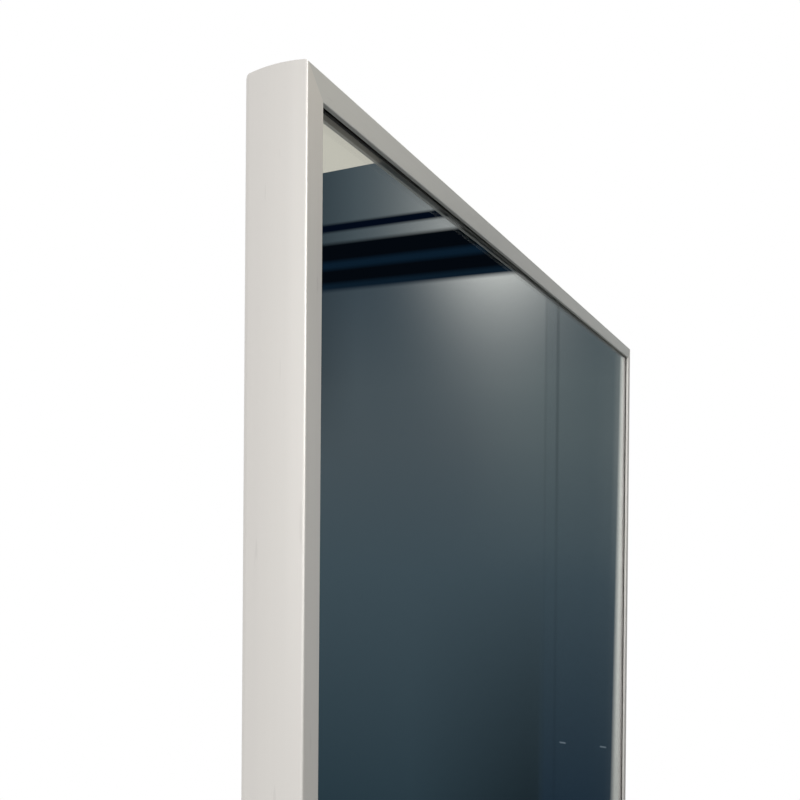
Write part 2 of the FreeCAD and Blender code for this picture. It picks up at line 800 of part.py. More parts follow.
def ball_cage(label, web_depth, ball_depth, ball_height, reach_depth):
    """The retainer strip between two members, with a hole for each ball."""
    strip = size("cage_sheet")
    half = strip / 2
    half_length = size("cage_length") / 2
    cage = new_body(label)
    sketch = new_sketch(cage, "YZ_Plane")
    upper = [(-web_depth, ball_height + half), (-reach_depth, ball_height + half),
             (-reach_depth, ball_height - half), (-(web_depth + strip), ball_height - half)]
    lower = [(x, -z) for x, z in reversed(upper)]
    polygon(sketch, upper + lower)
    pad(cage, sketch, half_length * 2, symmetric=True)
    windows = new_sketch(cage, "XZ_Plane", web_depth)
    window_half = half_length - size("cage_rim")
    window_top = ball_height - size("cage_margin")
    rectangle(windows, -window_half, -window_top, window_half, window_top)
    cut(cage, windows, strip * 2 + 1.0)
    holes = new_sketch(cage, "XY_Plane")
    offset = (BALLS_PER_ROW - 1) / 2
    for index in range(BALLS_PER_ROW):
        small_hole(holes, size("ball_pitch") * (index - offset), -ball_depth,
                   size("ball_radius") + size("cage_hole_gap"))
    cut(cage, holes)


def ball_master():
    """A ball with 26 flat faces, where three crossed octagonal bars meet. Its corners lie on
    the true ball, whose radius is corner_share of the distance to the bars' sides."""
    corner_share = math.sqrt(1 + 2 * math.tan(math.pi / 8) ** 2)
    side_distance = size("ball_radius") / corner_share
    length = size("ball_radius") * 3
    bars = []
    for axis, angle, start in (((0, 0, 1), 0, (0, 0, -1)), ((1, 0, 0), 90, (0, 1, 0)),
                               ((0, 1, 0), 90, (-1, 0, 0))):
        bar = doc.addObject("Part::Prism", "BallBar")
        bar.Polygon = 8
        bind(bar, "Circumradius", side_distance / math.cos(math.pi / 8))
        bind(bar, "Height", length)
        turn = Rotation(Vector(0, 0, 1), 22.5)
        bar.Placement = FreeCAD.Placement(Vector(*start) * float(length / 2),
                                          Rotation(Vector(*axis), angle) * turn)
        for name, share in zip("xyz", start):
            if share:
                bar.setExpression(f".Placement.Base.{name}", (length / 2 * share).text)
        bars.append(bar)
    ball = doc.addObject("Part::MultiCommon", "BallMaster")
    ball.Shapes = bars
    doc.recompute()
    return ball


def ball_set(label, ball, depth, height):
    """Both rows of one cage's balls, as one node."""
    offset = (BALLS_PER_ROW - 1) / 2
    group(label, ball, [
        (size("ball_pitch") * (index - offset), -depth, height * side, (0, 0, 1), 0)
        for side in (1, -1) for index in range(BALLS_PER_ROW)])


def build_slide():
    sheet_thickness = size("slide_sheet")
    front_x = -slide_half
    outer_ball_depth = depth_slide + size("outer_reach") - sheet_thickness - race_radius
    outer_ball_height = slide_top - sheet_thickness - race_radius
    middle_top = outer_ball_height - race_radius + size("race_depth")
    inner_ball_depth = depth_slide + size("middle_reach") - sheet_thickness - race_radius
    inner_ball_height = middle_top - sheet_thickness - race_radius
    inner_top = inner_ball_height - race_radius + size("race_depth")
    stop = size("stop_gap")
    middle_length = size("slide_length") - size("bumper_length") - stop
    inner_length = middle_length - size("clip_length") - stop

    cabinet = channel("slide_cabinet_member", Size(0.0), size("outer_reach"), slide_top,
                      size("outer_lip"), front_x, size("slide_length"))
    spare_holes = [(size("slide_length") * share, Size(0.0)) for share in (-0.44, 0.44)]
    web_holes(cabinet, depth_slide, spare_holes, size("spare_hole_radius"))

    middle = channel("slide_middle_member", middle_back, size("middle_reach"),
                     middle_top, size("middle_lip"), front_x, middle_length)
    cut_races(middle, outer_ball_depth, outer_ball_height, front_x)
    windows = new_sketch(middle, "XZ_Plane", depth_slide + middle_back)
    half_long = size("middle_window_length") / 2
    half_high = size("middle_window_height") / 2
    for share in (-0.36, 0.0, 0.34):
        centre = size("slide_length") * share
        cornered(windows, centre - half_long, -half_high, centre + half_long, half_high,
                 size("middle_window_corner"))
    cut(middle, windows, sheet_thickness * 2 + 1.0)

    inner = channel("slide_inner_member", size("inner_back"), size("slide_thickness"),
                    inner_top, size("inner_lip"), front_x, inner_length, web_at_front=True)
    cut_races(inner, inner_ball_depth, inner_ball_height, front_x)
    overlap_middle = -slide_half + size("carriage_overlap") / 2
    screws = [(overlap_middle + size("carriage_screw_pitch") / 2 * x_side,
               size("carriage_screw_rise") / 2 * z_side)
              for x_side in (1, -1) for z_side in (1, -1)]
    web_holes(inner, depth_slide_front, screws, size("carriage_screw_radius"))
    web_holes(inner, depth_slide_front, [(size("slide_length") * 0.4, Size(0.0))],
              size("spare_hole_radius"))

    gap = size("cage_gap")
    ball_cage("outer_ball_cage", depth_slide + sheet_thickness + gap, outer_ball_depth,
              outer_ball_height,
              depth_slide + size("outer_reach") - sheet_thickness - gap * 2)
    ball_cage("inner_ball_cage",
              depth_slide + middle_back + sheet_thickness + size("inner_cage_place"),
              inner_ball_depth, inner_ball_height,
              depth_slide + size("middle_reach") - sheet_thickness - gap * 2)
    ball = ball_master()
    ball_set("outer_balls", ball, outer_ball_depth, outer_ball_height)
    ball_set("inner_balls", ball, inner_ball_depth, inner_ball_height)

    bumper = new_body("rear_stop_bumper")
    sketch = new_sketch(bumper, "YZ_Plane", slide_half - size("bumper_length"))
    bumper_half = slide_top - sheet_thickness - size("outer_lip") * 0.5
    rectangle(sketch, -(depth_slide + size("outer_reach") - sheet_thickness - gap), -bumper_half,
              -(depth_slide + sheet_thickness), bumper_half)
    pad(bumper, sketch, size("bumper_length"))
    round_edges(bumper, size("stop_corner"), "y",
                lambda point: near(point.x, slide_half - size("bumper_length")))

    clip = new_body("middle_stop_clip")
    clip_x = front_x + middle_length - size("clip_length")
    sketch = new_sketch(clip, "YZ_Plane", clip_x)
    clip_half = middle_top - sheet_thickness - size("middle_lip") * 0.6
    rectangle(sketch, -(depth_slide + size("middle_reach") - sheet_thickness - gap), -clip_half,
              -(depth_slide + middle_back + sheet_thickness), clip_half)
    pad(clip, sketch, size("clip_length"))
    round_edges(clip, size("stop_corner"), "y", lambda point: near(point.x, clip_x))

    lever = new_body("release_lever")
    half_lever = size("lever_width") / 2
    lever_x = slide_half * 0.12
    sketch = new_sketch(lever, "XZ_Plane", depth_slide_front - sheet_thickness
                        - size("lever_thickness"))
    polygon(sketch, [
        (lever_x, -half_lever), (lever_x + size("lever_length") * 0.35, -half_lever),
        (lever_x + size("lever_length") * 0.5, -half_lever * 0.45),
        (lever_x + size("lever_length"), -half_lever * 0.45),
        (lever_x + size("lever_length"), half_lever * 0.45),
        (lever_x + size("lever_length") * 0.5, half_lever * 0.45),
        (lever_x + size("lever_length") * 0.35, half_lever), (lever_x, half_lever)])
    pad(lever, sketch, size("lever_thickness"))
    round_edges(lever, size("lever_corner"), "y", lambda point: near(point.x, lever_x)
                or near(point.x, lever_x + size("lever_length")))


def build_wall_brackets():
    """Two plates spot-welded to the slide's back, with the four wall screw holes beyond it."""
    half_pitch = size("wall_pitch_along") / 2
    half_plate = size("bracket_width") / 2
    half_tall = size("bracket_height") / 2
    for label, side in (("wall_bracket_front", -1), ("wall_bracket_rear", 1)):
        middle = half_pitch * side
        bracket = new_body(label)
        sketch = new_sketch(bracket, "XZ_Plane")
        rectangle(sketch, middle - half_plate, -half_tall, middle + half_plate, half_tall)
        pad(bracket, sketch, size("bracket_thickness"))
        round_edges(bracket, size("bracket_width") * 0.3, "y",
                    lambda point: near(abs(point.z), half_tall))
        holes = new_sketch(bracket, "XZ_Plane")
        for step in (1, -1):
            circle(holes, middle, size("wall_pitch_up") / 2 * step, size("wall_hole_radius"))
        cut(bracket, holes)


# ---------------------------------------------------------------- the whole mirror

def check_objects():
    """Stop if a feature failed or a piece has no valid shape."""
    doc.recompute()
    for item in doc.Objects:
        if "Invalid" in item.State or "Error" in item.State:
            raise RuntimeError(f"{item.Label} failed: {item.State}")
    for item in sub_parts:
        shape = item.Shape
        if shape.isNull() or not shape.isValid() or not shape.Solids:
            raise RuntimeError(f"{item.Label} has no valid shape")


def write_parts():
    os.makedirs("parts", exist_ok=True)
    for item in sub_parts:
        item.Shape.exportStep(f"parts/{item.Label}.step")
        print(f"{item.Label}: {len(item.Shape.Solids)} solid(s), "
              f"{item.Shape.Volume:.1f} cubic mm")


build_frame()
build_corner_keys()
build_glazing()
build_cross_bars()
build_pivot_plate()
build_carriage()
build_slide()
build_wall_brackets()
check_objects()
write_parts()
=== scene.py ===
"""Pull-out closet mirror: materials, fine pieces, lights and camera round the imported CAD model.

Everything is in metres in the frame of the CAD: X along the mirror's width, the glass faces -Y,
Z is up. The mirror pulls out towards -X.
"""
import json
import math

import bmesh
import bpy
from mathutils import Euler, Matrix, Vector


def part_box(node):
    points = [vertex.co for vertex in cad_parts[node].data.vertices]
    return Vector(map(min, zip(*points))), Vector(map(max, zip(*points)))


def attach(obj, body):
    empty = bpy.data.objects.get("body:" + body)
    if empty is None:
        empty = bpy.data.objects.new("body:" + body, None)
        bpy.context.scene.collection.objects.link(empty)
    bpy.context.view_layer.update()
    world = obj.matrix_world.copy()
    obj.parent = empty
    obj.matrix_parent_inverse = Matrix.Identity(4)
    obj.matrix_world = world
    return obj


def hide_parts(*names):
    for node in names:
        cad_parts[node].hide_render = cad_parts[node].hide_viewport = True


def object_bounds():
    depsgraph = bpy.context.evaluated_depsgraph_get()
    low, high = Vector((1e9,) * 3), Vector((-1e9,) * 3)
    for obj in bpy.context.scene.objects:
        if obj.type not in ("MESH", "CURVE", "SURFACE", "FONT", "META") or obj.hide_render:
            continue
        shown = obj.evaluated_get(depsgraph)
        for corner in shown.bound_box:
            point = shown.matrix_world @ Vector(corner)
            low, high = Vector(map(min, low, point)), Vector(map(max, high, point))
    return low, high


MM = 0.001
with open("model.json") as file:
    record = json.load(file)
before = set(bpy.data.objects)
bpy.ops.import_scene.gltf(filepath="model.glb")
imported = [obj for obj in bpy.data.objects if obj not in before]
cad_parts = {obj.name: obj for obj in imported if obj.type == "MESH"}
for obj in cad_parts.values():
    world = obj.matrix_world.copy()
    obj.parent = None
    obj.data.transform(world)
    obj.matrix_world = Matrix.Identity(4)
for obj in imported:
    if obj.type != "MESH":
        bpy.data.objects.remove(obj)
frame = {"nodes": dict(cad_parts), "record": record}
cad_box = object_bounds()
nodes = frame["nodes"]


# ---------------------------------------------------------------- colours and shader nodes

WHITE = (1.0, 1.0, 1.0, 1.0)
MIX_FIRST, MIX_SECOND, MIX_RESULT = 6, 7, 2     # the Mix node's sockets for colours


def linear(red, green, blue):
    """A display colour, 0 to 255, as the linear colour a shader takes."""
    def one(value):
        value /= 255.0
        return value / 12.92 if value <= 0.04045 else ((value + 0.055) / 1.055) ** 2.4
    return (one(red), one(green), one(blue), 1.0)


def shade(colour, factor):
    """A colour made darker or lighter by a factor."""
    return tuple(min(1.0, value * factor) for value in colour[:3]) + (1.0,)


class Graph:
    """The nodes of one material, or of the world, and short ways to add to them."""

    def __init__(self, material):
        self.material = material
        material.use_nodes = True
        self.tree = material.node_tree
        self.tree.nodes.clear()

    def add(self, kind, **settings):
        """A new node with these settings."""
        node = self.tree.nodes.new(kind)
        for key, value in settings.items():
            setattr(node, key, value)
        return node

    def link(self, source, target):
        self.tree.links.new(source, target)

    def put(self, socket, value):
        """Give a socket either a link or a constant."""
        if isinstance(value, bpy.types.NodeSocket):
            self.link(value, socket)
        else:
            socket.default_value = value

    def span(self, value, low, high, new_low, new_high):
        """Map a value between limits to new limits, held at both ends."""
        node = self.add("ShaderNodeMapRange")
        self.put(node.inputs["Value"], value)
        for name, number in (("From Min", low), ("From Max", high),
                             ("To Min", new_low), ("To Max", new_high)):
            node.inputs[name].default_value = number
        return node.outputs["Result"]

    def rise(self, value, low, high):
        """0 below the first limit, 1 above the second."""
        return self.span(value, low, high, 0.0, 1.0)

    def fall(self, value, low, high):
        """1 below the first limit, 0 above the second."""
        return self.span(value, low, high, 1.0, 0.0)

    def maths(self, operation, first, second=0.0):
        node = self.add("ShaderNodeMath", operation=operation)
        self.put(node.inputs[0], first)
        self.put(node.inputs[1], second)
        return node.outputs[0]

    def times(self, first, *others):
        """The product of all these values."""
        for other in others:
            first = self.maths("MULTIPLY", first, other)
        return first

    def apart(self, value, middle):
        """How far a value is from another."""
        return self.maths("ABSOLUTE", self.maths("SUBTRACT", value, middle))

    def radius(self, x, y):
        """How far a point is from the Z axis."""
        return self.maths("SQRT", self.maths("ADD", self.times(x, x), self.times(y, y)))

    def blend(self, factor, first, second, mode="MIX"):
        """The first colour at 0, the second at 1."""
        node = self.add("ShaderNodeMix", data_type="RGBA", blend_type=mode)
        self.put(node.inputs[0], factor)
        self.put(node.inputs[MIX_FIRST], first)
        self.put(node.inputs[MIX_SECOND], second)
        return node.outputs[MIX_RESULT]

    def split(self, vector):
        """A vector's X, Y and Z, or a colour's red, green and blue."""
        node = self.add("ShaderNodeSeparateXYZ")
        self.link(vector, node.inputs[0])
        return node.outputs

    def place(self):
        """The X, Y and Z of the point that is shaded."""
        return self.split(self.add("ShaderNodeNewGeometry").outputs["Position"])

    def ray(self, *kinds):
        """One where the ray is of any of these kinds."""
        path = self.add("ShaderNodeLightPath")
        total = path.outputs[kinds[0]]
        for kind in kinds[1:]:
            total = self.maths("MAXIMUM", total, path.outputs[kind])
        return total


class Shader(Graph):
    """A material with one Principled shader."""

    def __init__(self, name):
        super().__init__(bpy.data.materials.new(name))
        self.out = self.add("ShaderNodeOutputMaterial")
        self.bsdf = self.add("ShaderNodeBsdfPrincipled")
        self.link(self.bsdf.outputs["BSDF"], self.out.inputs["Surface"])
        self.where = self.add("ShaderNodeTexCoord").outputs["Object"]
        self.bumps = None

    def set(self, **values):
        """Give the shader's sockets their values, by their names with _ for a space."""
        for name, value in values.items():
            self.put(self.bsdf.inputs[name.replace("_", " ")], value)

    def scaled(self, x, y, z, turn=(0.0, 0.0, 0.0)):
        """The object's coordinates, closer together along each axis by its own factor."""
        mapping = self.add("ShaderNodeMapping")
        mapping.inputs["Scale"].default_value = (x, y, z)
        mapping.inputs["Rotation"].default_value = turn
        self.link(self.where, mapping.inputs["Vector"])
        return mapping.outputs["Vector"]

    def noise(self, vector, scale=1.0, detail=3.0, roughness=0.5, distortion=0.0):
        node = self.add("ShaderNodeTexNoise")
        self.link(vector, node.inputs["Vector"])
        node.inputs["Scale"].default_value = scale
        node.inputs["Detail"].default_value = detail
        node.inputs["Roughness"].default_value = roughness
        node.inputs["Distortion"].default_value = distortion
        return node.outputs["Fac"]

    def voronoi(self, vector, scale, feature="F1", output="Distance"):
        node = self.add("ShaderNodeTexVoronoi", feature=feature)
        self.link(vector, node.inputs["Vector"])
        node.inputs["Scale"].default_value = scale
        return node.outputs[output]

    def bump(self, height, strength, depth):
        """Add a layer of relief, so many millimetres deep, over those already there."""
        node = self.add("ShaderNodeBump")
        self.link(height, node.inputs["Height"])
        node.inputs["Strength"].default_value = strength
        node.inputs["Distance"].default_value = depth * MM
        if self.bumps is not None:
            self.link(self.bumps, node.inputs["Normal"])
        self.bumps = node.outputs["Normal"]
        self.link(self.bumps, self.bsdf.inputs["Normal"])


# ---------------------------------------------------------------- materials

def anodised(name, along, tone):
    """Matt anodised aluminium: drawn lines along the extrusion, a fine etched grain over them,
    faint blotches from handling, and a few hair marks."""
    m = Shader(name)

    def scales(run, across):
        """A texture's scales, with its own one along the extrusion."""
        return tuple(run if axis == along else across for axis in "xyz")

    drawn = m.noise(m.scaled(*scales(6.0, 2600.0)), detail=2.0)
    drift = m.noise(m.scaled(*scales(1.5, 260.0)), detail=2.0)
    grain = m.noise(m.where, scale=9000.0, detail=1.0)
    blotch = m.noise(m.where, scale=26.0, detail=4.0, roughness=0.6)
    marks = m.noise(m.scaled(*scales(90.0, 900.0), turn=(0.13, 0.09, 0.11)), detail=0.0)
    marks = m.rise(marks, 0.79, 0.82)
    colour = m.blend(drift, shade(tone, 0.965), shade(tone, 1.025))
    colour = m.blend(m.span(blotch, 0.35, 0.75, 0.0, 0.3), colour, shade(tone, 0.95))
    colour = m.blend(m.times(marks, 0.25), colour, shade(tone, 0.75))
    rough = m.maths("ADD", m.span(drawn, 0.3, 0.7, 0.36, 0.44),
                    m.span(blotch, 0.3, 0.8, -0.015, 0.05))
    m.set(Base_Color=colour, Metallic=0.62, Roughness=rough)
    m.bump(drawn, 0.10, 0.05)
    m.bump(grain, 0.12, 0.03)
    m.bump(marks, 0.15, 0.03)
    return m.material


def clear_glass(name):
    """Float glass in front of the silver: clear, faintly green."""
    m = Shader(name)
    m.set(Base_Color=(0.975, 0.992, 0.985, 1.0), Roughness=0.0, IOR=1.52,
          Transmission_Weight=1.0)
    return m.material


def silver(name):
    """The silver layer on the back of the glass."""
    m = Shader(name)
    cloud = m.noise(m.where, scale=3.0, detail=2.0)
    m.set(Base_Color=m.blend(cloud, (0.905, 0.925, 0.925, 1.0), (0.915, 0.930, 0.930, 1.0)),
          Metallic=1.0, Roughness=0.0)
    return m.material


def back_paint(name):
    """The grey protective paint behind the silver."""
    m = Shader(name)
    coat = m.noise(m.where, scale=60.0, detail=5.0)
    m.set(Base_Color=m.blend(m.rise(coat, 0.35, 0.7), linear(92, 97, 101), linear(104, 109, 112)),
          Roughness=0.5)
    m.bump(coat, 0.2, 0.1)
    return m.material


def coated(name, tone):
    """Fine-textured powder coat: tiny rounded pits with painted shade in them, slight tone drift.
    """
    m = Shader(name)
    pits = m.voronoi(m.where, 1400.0, "SMOOTH_F1")
    roll = m.noise(m.where, scale=420.0, detail=3.0)
    drift = m.noise(m.where, scale=18.0, detail=3.0)
    colour = m.blend(m.rise(drift, 0.3, 0.7), shade(tone, 0.94), shade(tone, 1.05))
    # The pits are also painted darker: painted shade in their hollows.
    colour = m.blend(m.span(pits, 0.1, 0.6, 0.0, 0.35), shade(tone, 0.82), colour)
    m.set(Base_Color=colour, Roughness=m.span(roll, 0.3, 0.7, 0.42, 0.58))
    m.bump(pits, 0.35, 0.1)
    m.bump(roll, 0.2, 0.1)
    return m.material


def zinc(name, tone, rough=(0.24, 0.33)):
    """Zinc-plated sheet: rolling lines, soft spangle patches and a thin blue-yellow cast."""
    m = Shader(name)
    lines = m.noise(m.scaled(4.0, 1500.0, 1500.0), detail=3.0)
    spangle = m.voronoi(m.where, 260.0, output="Color")
    tint = m.noise(m.where, scale=30.0, detail=3.0)
    colour = m.blend(m.split(spangle)[0], shade(tone, 0.97), shade(tone, 1.03))
    cast = m.blend(m.rise(tint, 0.35, 0.65), (0.96, 0.98, 1.0, 1.0), (1.0, 0.975, 0.92, 1.0))
    colour = m.blend(1.0, colour, cast, "MULTIPLY")
    m.set(Base_Color=colour, Metallic=1.0, Roughness=m.span(lines, 0.3, 0.7, *rough))
    m.bump(lines, 0.07, 0.04)
    return m.material


def moulded(name, tone, rough):
    """Moulded plastic or rubber: fine spark-eroded grain."""
    m = Shader(name)
    fine = m.noise(m.where, scale=900.0, detail=3.0)
    drift = m.noise(m.where, scale=60.0, detail=2.0)
    colour = m.blend(m.rise(drift, 0.3, 0.7), shade(tone, 0.85), shade(tone, 1.15))
    m.set(Base_Color=colour, Roughness=m.span(fine, 0.3, 0.7, *rough))
    m.bump(fine, 0.25, 0.1)
    return m.material


def hardboard(name):
    """Pressed fibre board: matted fibres, dark specks, a rolled sheen."""
    m = Shader(name)
    fibre = m.noise(m.scaled(120.0, 120.0, 420.0, turn=(0.2, 0.7, 0.1)), detail=6.0,
                    roughness=0.7, distortion=1.5)
    cross = m.noise(m.scaled(520.0, 120.0, 100.0, turn=(0.0, -0.5, 0.0)), detail=6.0,
                    roughness=0.7, distortion=1.2)
    specks = m.fall(m.voronoi(m.where, 260.0), 0.05, 0.16)
    drift = m.noise(m.where, scale=7.0, detail=4.0)
    both = m.times(m.maths("ADD", fibre, cross), 0.5)
    colour = m.blend(m.rise(both, 0.35, 0.65), linear(106, 72, 47), linear(152, 112, 78))
    colour = m.blend(m.span(drift, 0.35, 0.7, 0.0, 0.3), colour, linear(92, 60, 38))
    colour = m.blend(m.times(specks, 0.45), colour, linear(58, 36, 24))
    m.set(Base_Color=colour, Roughness=m.span(both, 0.3, 0.7, 0.42, 0.66))
    m.bump(both, 0.3, 0.15)
    return m.material


def polished(name, tone, rough):
    """Bare metal with a fine cloud in its tone and gloss."""
    m = Shader(name)
    fine = m.noise(m.where, scale=800.0, detail=3.0)
    m.set(Base_Color=m.blend(fine, shade(tone, 0.94), shade(tone, 1.04)), Metallic=1.0,
          Roughness=m.span(fine, 0.3, 0.7, *rough))
    return m.material


stile_metal = anodised("anodised_upright", "z", (0.725, 0.700, 0.665, 1.0))
# The rails' anodising is a darker, cooler copy of the stiles': painted shade for the darker rails
# and the tone step at the mitres.
shaded_rail_metal = anodised("anodised_level", "x", (0.640, 0.637, 0.614, 1.0))
frame_finishes = {
    "frame_left_stile": stile_metal,
    "frame_right_stile": stile_metal,
    "frame_top_rail": shaded_rail_metal,
    "frame_bottom_rail": shaded_rail_metal,
}
finishes = {
    "mirror": clear_glass("mirror_glass"),
    # The glazing tape is dark, and its near-black tone is also painted shade for the dark gap
    # under the top rail's lip.
    "black_tape": moulded("black_tape", linear(26, 26, 28), (0.5, 0.65)),
    "hardboard": hardboard("hardboard"),
    "cast_keys": polished("cast_keys", (0.45, 0.45, 0.46, 1.0), (0.4, 0.6)),
    "coated_steel": coated("coated_steel", linear(172, 172, 170)),
    "zinc_steel": zinc("zinc_steel", (0.66, 0.68, 0.70, 1.0)),
    "cage_steel": zinc("cage_steel", (0.52, 0.53, 0.54, 1.0), (0.3, 0.4)),
    "ball_steel": polished("ball_steel", (0.80, 0.80, 0.80, 1.0), (0.04, 0.09)),
    "screw_steel": polished("screw_steel", (0.62, 0.63, 0.65, 1.0), (0.2, 0.32)),
    "nylon": moulded("nylon", linear(226, 226, 217), (0.35, 0.5)),
    "black_plastic": moulded("black_plastic", linear(38, 38, 41), (0.4, 0.55)),
}
slots = {row["node"]: row["material_slot"] for row in frame["record"]["subparts"]}
for name, node in nodes.items():
    node.data.materials.clear()
    node.data.materials.append(frame_finishes.get(name) or finishes[slots[name]])


# ---------------------------------------------------------------- pieces

SMOOTH_BELOW = math.radians(35.0)


def piece(name, mesh, body, materials, replaced=None):
    """A finished piece of the object, riding on a CAD body."""
    for material in materials:
        mesh.materials.append(material)
    obj = bpy.data.objects.new(name, mesh)
    bpy.context.scene.collection.objects.link(obj)
    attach(obj, body)
    if replaced:
        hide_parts(replaced)
    return obj


def finished(name, bm, body, slot, replaced):
    """Close a bmesh into a piece that replaces a node, smooth where its faces meet gently."""
    bmesh.ops.remove_doubles(bm, verts=bm.verts, dist=0.0001 * MM)
    bmesh.ops.recalc_face_normals(bm, faces=bm.faces)
    for face in bm.faces:
        face.smooth = True
    for edge in bm.edges:
        if len(edge.link_faces) == 2 and edge.calc_face_angle(0.0) > SMOOTH_BELOW:
            edge.smooth = False
    mesh = bpy.data.meshes.new(name)
    bm.to_mesh(mesh)
    bm.free()
    return piece(name, mesh, body, [finishes[slot]], replaced)


def islands(node):
    """The lowest and highest corner of each separate solid of a CAD node. Its faces don't share
    their corners, so points at one place count as one."""
    mesh = nodes[node].data
    owner = list(range(len(mesh.vertices)))

    def root(index):
        while owner[index] != index:
            owner[index] = owner[owner[index]]
            index = owner[index]
        return index

    seen = {}
    for index, vertex in enumerate(mesh.vertices):
        key = tuple(round(value, 7) for value in vertex.co)
        owner[index] = root(seen.setdefault(key, index))
    for edge in mesh.edges:
        owner[root(edge.vertices[0])] = root(edge.vertices[1])
    groups = {}
    for index, vertex in enumerate(mesh.vertices):
        groups.setdefault(root(index), []).append(nodes[node].matrix_world @ vertex.co)
    boxes = []
    for points in groups.values():
        low = Vector([min(p[axis] for p in points) for axis in range(3)])
        high = Vector([max(p[axis] for p in points) for axis in range(3)])
        boxes.append((low, high))
    return sorted(boxes, key=lambda box: tuple(box[0]))


def ring_stack(bm, rings):
    """Skin a list of vertex rings, each joined to the next."""
    for first, second in zip(rings[:-1], rings[1:]):
        count = len(first)
        for k in range(count):
            n = (k + 1) % count
            bm.faces.new((first[k], first[n], second[n], second[k]))


# The silver begins this far inside the glass, its paint ends this far behind it, and both stop
# this far from the glass's edge.
SILVER_INSIDE = 0.01 * MM
PAINT_BEHIND = 0.04 * MM
SILVER_EDGE = 1.5 * MM


def build_silver():
    """The silver and its paint: a film against the back of the glass."""
    low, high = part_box("mirror_glass")
    left, right = low.x + SILVER_EDGE, high.x - SILVER_EDGE
    bottom, top = low.z + SILVER_EDGE, high.z - SILVER_EDGE
    bm = bmesh.new()
    front, back = ([bm.verts.new((x, y, z)) for x, z in (
        (left, bottom), (right, bottom), (right, top), (left, top))]
        for y in (high.y - SILVER_INSIDE, high.y + PAINT_BEHIND))
    bm.faces.new(front)
    paint = [bm.faces.new(back[::-1])]
    for k in range(4):
        n = (k + 1) % 4
        paint.append(bm.faces.new((front[k], back[k], back[n], front[n])))
    for face in paint:
        face.material_index = 1
    bmesh.ops.recalc_face_normals(bm, faces=bm.faces)
    mesh = bpy.data.meshes.new("silver_layer")
    bm.to_mesh(mesh)
    bm.free()
    piece("silver_layer", mesh, "mirror", [silver("silver"), back_paint("back_paint")])


# Screws: body, where the heads look along Y, height of the head, radius of the shank.
SCREWS = {
    "cross_bar_screws": ("mirror", 1, 2.2 * MM, 1.7 * MM),
    "pivot_plate_screws": ("mirror", 1, 2.8 * MM, 2.45 * MM),
    "carriage_screws": ("carriage", -1, 2.2 * MM, 1.95 * MM),
}
HEAD_INSIDE = 0.999                     # keeps a head inside the CAD's own
# The cross recess, in millimetres from its middle on a head of this radius: half an arm's width,
# the top of its walls, a line along the arms, the arms' ends, and the square round them.
RECESS_HEAD = 3.8 * MM
RECESS = (0.42, 0.58, 1.05, 1.55, 1.85)
RECESS_SLACK = 1e-9
# Shares of the head's height: the recess's floor in the middle, its rise to the arms' ends, and
# how much lower the rim is than the middle of the head.
RECESS_FLOOR, RECESS_RISE = 0.32, 0.30
HEAD_FALL = 0.42
HEAD_STEPS = (0.3, 0.62, 0.87, 1.0)     # from the recess's square to the rim
HEAD_SIDE = ((1.0, 0.30), (0.985, 0.06), (0.95, 0.0))   # shares of the radius and the height
THREAD = (0.86, 0.93, 0.995, 0.93)      # shares of the shank's radius over one pitch
THREAD_PITCH = 0.8 * MM
THREAD_START = 0.3 * MM                 # below the head
THREAD_ENDS = 1.6 * MM                  # the shank's length less that of its thread
TIP_LENGTH = 0.35 * MM
TIP_WIDTH = 0.6                         # share of the shank's radius


def screw(bm, place, head_radius, head_height, shank_radius, length, recess):
    """A pan-head screw with a cross recess and a rolled thread, its head towards local +Z. The
    top of the head is a square grid that gets rounder towards the rim."""
    arm, wall, along, reach, mouth = (value * MM * recess for value in RECESS)
    rest = head_radius - mouth
    lines = [0.0, arm, wall, along, reach, mouth]
    lines += [mouth + rest * part for part in HEAD_STEPS]
    lines = [-value for value in lines[:0:-1]] + lines
    top = {}
    for a, u in enumerate(lines):
        for b, v in enumerate(lines):
            square = max(abs(u), abs(v))
            point = Vector((u, v))
            if square > 0.0:
                roundness = min(1.0, max(0.0, (square - mouth) / rest))
                point = point.lerp(point.normalized() * square, roundness)
            level = head_height * (1.0 - HEAD_FALL * (point.length / head_radius) ** 3)
            narrow, wide = sorted((abs(u), abs(v)))
            if narrow <= arm + RECESS_SLACK and wide <= reach + RECESS_SLACK:
                level = head_height * (RECESS_FLOOR + RECESS_RISE * wide / reach)
            top[a, b] = bm.verts.new(place @ Vector((point.x, point.y, level)))
    last = len(lines) - 1
    for a in range(last):
        for b in range(last):
            bm.faces.new((top[a, b], top[a + 1, b], top[a + 1, b + 1], top[a, b + 1]))
    rim = [top[a, 0] for a in range(last)] + [top[last, b] for b in range(last)]
    rim += [top[a, last] for a in range(last, 0, -1)] + [top[0, b] for b in range(last, 0, -1)]
    angles = []
    for vertex in rim:
        local = place.inverted() @ vertex.co
        angles.append(math.atan2(local.y, local.x))
    rings = [rim]

    def add_ring(radius, level, drop=0.0):
        """A ring below the rim; a thread's ring drops by one pitch over its turn."""
        rings.append([bm.verts.new(place @ Vector((
            radius * math.cos(angle), radius * math.sin(angle),
            level - drop * (angle / math.tau + 0.5)))) for angle in angles])

    for width, level in HEAD_SIDE:
        add_ring(head_radius * width, head_height * level)
    core = shank_radius * THREAD[0]
    add_ring(core, 0.0)
    steps = len(THREAD)
    for k in range(int((length - THREAD_ENDS) / THREAD_PITCH) * steps):
        add_ring(shank_radius * THREAD[k % steps], -THREAD_START - THREAD_PITCH * k / steps,
                 THREAD_PITCH)
    add_ring(core, TIP_LENGTH - length)
    add_ring(shank_radius * TIP_WIDTH, -length)
    ring_stack(bm, rings)
    bm.faces.new(rings[-1])


